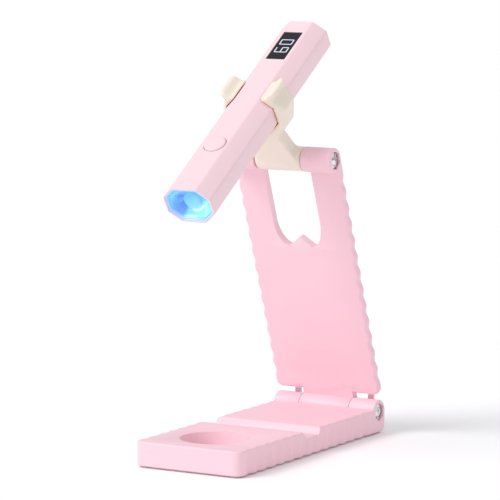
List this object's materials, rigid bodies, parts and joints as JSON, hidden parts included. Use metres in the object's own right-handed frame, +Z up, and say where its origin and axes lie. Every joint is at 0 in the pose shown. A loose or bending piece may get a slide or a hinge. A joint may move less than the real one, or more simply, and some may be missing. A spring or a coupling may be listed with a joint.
{
  "type": "uv led nail lamp",
  "caption": "Rechargeable pen-shaped UV LED nail lamp held by a spring clip on a folding two-hinge desk stand with a cup well and a phone groove in its base.",
  "frame": {"origin": "middle of the base's underside, on the surface that the stand rests on", "axes": "+X to the right across the stand and along both hinges, -Y towards the front of the base, +Z up"},
  "size_m": [0.061, 0.1569, 0.2149],
  "materials": {
    "stand_pink": "satin moulded ABS, warm pink",
    "lamp_pink": "very pale pink satin paint over a moulded tube",
    "button_pink": "pale pink moulded button with a polished dome",
    "clip_cream": "satin moulded acetal, warm cream",
    "zinc_steel": "bright zinc plate",
    "socket_steel": "drawn nickel-plated steel",
    "ballast_steel": "mill scale, sheared edges",
    "pad_rubber": "thin pale EVA sheet",
    "lens_clear": "clear moulded window",
    "reflector_mirror": "vacuum-metallised facets",
    "led_dome": "clear silicone dome, lit blue-violet",
    "led_board_white": "white solder mask on aluminium",
    "sink_aluminium": "turned, plain",
    "board_green": "glass-epoxy board, green solder mask",
    "black_plastic": "moulded, fine texture",
    "display_black": "polished smoked window over a lit two-digit display",
    "cell_foil": "laminated pouch foil",
    "tray_white": "moulded, plain"
  },
  "bodies": {
    "base": {"base_shell": "stand_pink", "base_bottom_cover": "stand_pink", "ballast_plate": "ballast_steel", "non_slip_pad": "pad_rubber", "cover_screw_1": "zinc_steel", "cover_screw_2": "zinc_steel", "cover_screw_3": "zinc_steel", "cover_screw_4": "zinc_steel", "lower_hinge_bolt": "zinc_steel", "lower_hinge_nut": "zinc_steel", "lower_hinge_washer_left": "zinc_steel", "lower_hinge_washer_right": "zinc_steel"},
    "arm": {"upright": "stand_pink", "upper_hinge_bolt": "zinc_steel", "upper_hinge_nut": "zinc_steel", "upper_hinge_washer_left": "zinc_steel", "upper_hinge_washer_right": "zinc_steel"},
    "clip": {"lamp_clip": "clip_cream"},
    "lamp": {"lamp_shell": "lamp_pink", "lens": "lens_clear", "reflector": "reflector_mirror", "led_emitter": "led_dome", "led_board": "led_board_white", "heat_sink": "sink_aluminium", "main_board": "board_green", "button_switch": "black_plastic", "display_window": "display_black", "display_module": "black_plastic", "battery_cell": "cell_foil", "cell_tray": "tray_white", "charge_board": "board_green", "usb_c_socket": "socket_steel", "tail_cap": "lamp_pink"},
    "button": {"button_cap": "button_pink"}
  },
  "joints": [
    {"name": "stand_fold", "type": "hinge", "parent": "base", "child": "arm", "pos_m": [0, 0.0696, 0.0114], "axis": [1, 0, 0], "range_deg": [-28, 18]},
    {"name": "clip_tilt", "type": "hinge", "parent": "arm", "child": "clip", "pos_m": [0, 0.01767, 0.14668], "axis": [1, 0, 0], "range_deg": [-90, 50]},
    {"name": "lamp_slide", "type": "slide", "parent": "clip", "child": "lamp", "axis": [0, 0.8368, 0.5476], "range_m": [-0.012, 0.03]},
    {"name": "button_press", "type": "slide", "parent": "lamp", "child": "button", "axis": [0, 0.5476, -0.8368], "range_m": [0, 0.0006], "stiffness_N_per_m": 1500, "springref_m": -0.0004}
  ]
}
